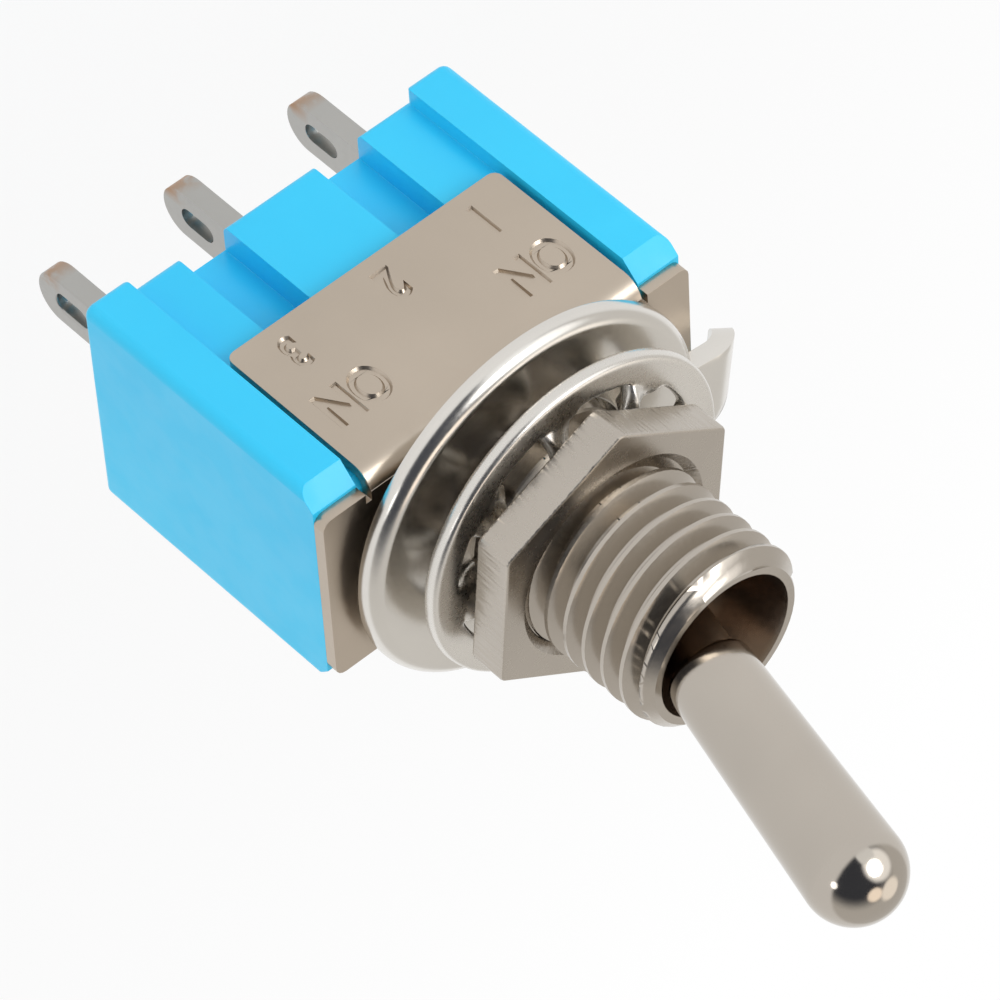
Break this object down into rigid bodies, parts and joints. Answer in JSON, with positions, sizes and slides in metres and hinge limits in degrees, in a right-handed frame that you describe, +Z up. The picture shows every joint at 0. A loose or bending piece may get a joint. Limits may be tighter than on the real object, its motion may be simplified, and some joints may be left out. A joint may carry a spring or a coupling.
{
  "type": "panel toggle switch",
  "caption": "Panel toggle switch: blue moulded body in a folded steel frame, solder blades, threaded bushing with nut, lock washer and locating ring, and a tilting metal lever.",
  "frame": {"origin": "on the bushing axis, at the front face of the support frame's plate", "axes": "+Z up the bushing to the lever tip, +X along the body's long side, the way the lever swings, +Y out of the long side with the lettered tab"},
  "size_m": [0.0146, 0.0122, 0.0326],
  "materials": {
    "housing_blue": "moulded, satin",
    "frame_steel": "nickel plated, satin",
    "bushing_brass": "nickel plated, bright",
    "lever_brass": "nickel plated, satin with a bright tip",
    "pin_steel": "ground",
    "spring_steel": "drawn wire",
    "plunger_nylon": "moulded",
    "contact_brass": "silver plated",
    "contact_silver": "solid silver",
    "terminal_brass": "silver plated, dull",
    "seal_resin": "cast",
    "ring_steel": "nickel plated, bright",
    "washer_steel": "nickel plated, bright",
    "nut_brass": "nickel plated, machined"
  },
  "bodies": {
    "switch_body": {"housing": "housing_blue", "support_frame": "frame_steel", "bushing": "bushing_brass", "locating_ring": "ring_steel", "end_terminal_left": "terminal_brass", "centre_terminal": "terminal_brass", "end_terminal_right": "terminal_brass", "fixed_contact_left": "contact_silver", "fixed_contact_right": "contact_silver", "terminal_seal_left": "seal_resin", "terminal_seal_centre": "seal_resin", "terminal_seal_right": "seal_resin"},
    "lever": {"lever": "lever_brass", "pivot_pin": "pin_steel", "plunger_spring": "spring_steel"},
    "plunger": {"plunger": "plunger_nylon"},
    "rocker": {"rocker_contact": "contact_brass", "moving_contact_left": "contact_silver", "moving_contact_right": "contact_silver"},
    "lock_washer": {"lock_washer": "washer_steel"},
    "hex_nut": {"hex_nut": "nut_brass"}
  },
  "joints": [
    {"name": "lever_tilt", "type": "hinge", "parent": "switch_body", "child": "lever", "pos_m": [0, 0, 0.005], "axis": [0, 1, 0], "range_deg": [0, 27]},
    {"name": "rocker_tilt", "type": "hinge", "parent": "switch_body", "child": "rocker", "pos_m": [0, 0, -0.00687], "axis": [0, 1, 0], "range_deg": [-12, 0]},
    {"name": "plunger_slide", "type": "slide", "parent": "lever", "child": "plunger", "axis": [-0.2334, 0, 0.9724], "range_m": [0, 0.0007], "stiffness_N_per_m": 900, "springref_m": -0.0015, "deforming": ["plunger_spring"]},
    {"name": "washer_lift", "type": "slide", "parent": "switch_body", "child": "lock_washer", "axis": [0, 0, 1], "range_m": [0, 0.00525]},
    {"name": "nut_turn", "type": "hinge", "parent": "lock_washer", "child": "hex_nut", "pos_m": [0, 0, 0.0034], "axis": [0, 0, 1], "range_deg": [0, 2520.1]}
  ],
  "couplings": [
    {"joint": "rocker_tilt", "follows": "lever_tilt", "ratio": -0.44444},
    {"joint": "nut_turn", "follows": "washer_lift", "rad_per_m": 8377.6}
  ]
}
